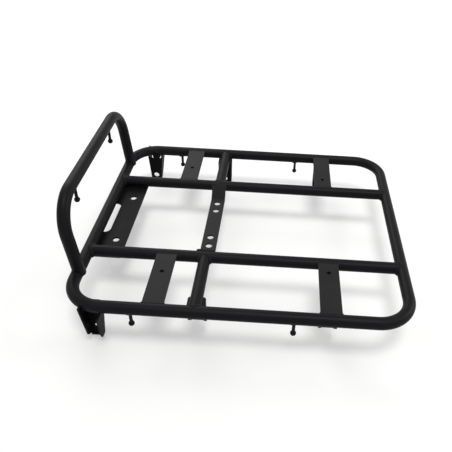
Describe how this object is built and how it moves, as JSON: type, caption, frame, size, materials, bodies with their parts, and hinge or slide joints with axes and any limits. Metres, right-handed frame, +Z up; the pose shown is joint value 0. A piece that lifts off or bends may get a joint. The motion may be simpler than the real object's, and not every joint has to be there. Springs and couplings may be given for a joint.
{
  "type": "motorcycle luggage rack",
  "caption": "Black welded steel luggage rack with a tubular deck, inner rails, an upright hoop, drilled flat plates, folded bolt-on channels and round-headed cord pegs.",
  "frame": {"origin": "midway between the end plate's bolt holes, on that plate's underside", "axes": "+X along the deck away from the hoop, +Y to the far side tube, +Z up, out of the deck towards the luggage"},
  "size_m": [0.529, 0.4852, 0.2044],
  "materials": {
    "tube_coat": "satin black powder coat",
    "plate_coat": "satin black powder coat",
    "peg_coat": "satin black powder coat",
    "nut_coat": "thin black powder coat over the nuts"
  },
  "bodies": {
    "root": {"perimeter_tube": "tube_coat", "inner_rail_near": "tube_coat", "inner_rail_far": "tube_coat", "cross_tube_near": "tube_coat", "cross_tube_far": "tube_coat", "hoop_tube": "tube_coat", "bridge_strip": "plate_coat", "end_plate": "plate_coat", "tie_plate_left_near": "plate_coat", "tie_plate_left_far": "plate_coat", "tie_plate_right_near": "plate_coat", "tie_plate_right_far": "plate_coat", "corner_leg_near": "plate_coat", "corner_leg_far": "plate_coat", "mid_bracket_near": "plate_coat", "mid_bracket_far": "plate_coat", "right_bracket_near": "plate_coat", "right_bracket_far": "plate_coat", "rail_peg_left_near": "peg_coat", "rail_peg_left_far": "peg_coat", "rail_peg_right_near": "peg_coat", "rail_peg_right_far": "peg_coat", "hoop_peg_near": "peg_coat", "hoop_peg_far": "peg_coat", "weld_nuts": "nut_coat"}
  },
  "joints": []
}
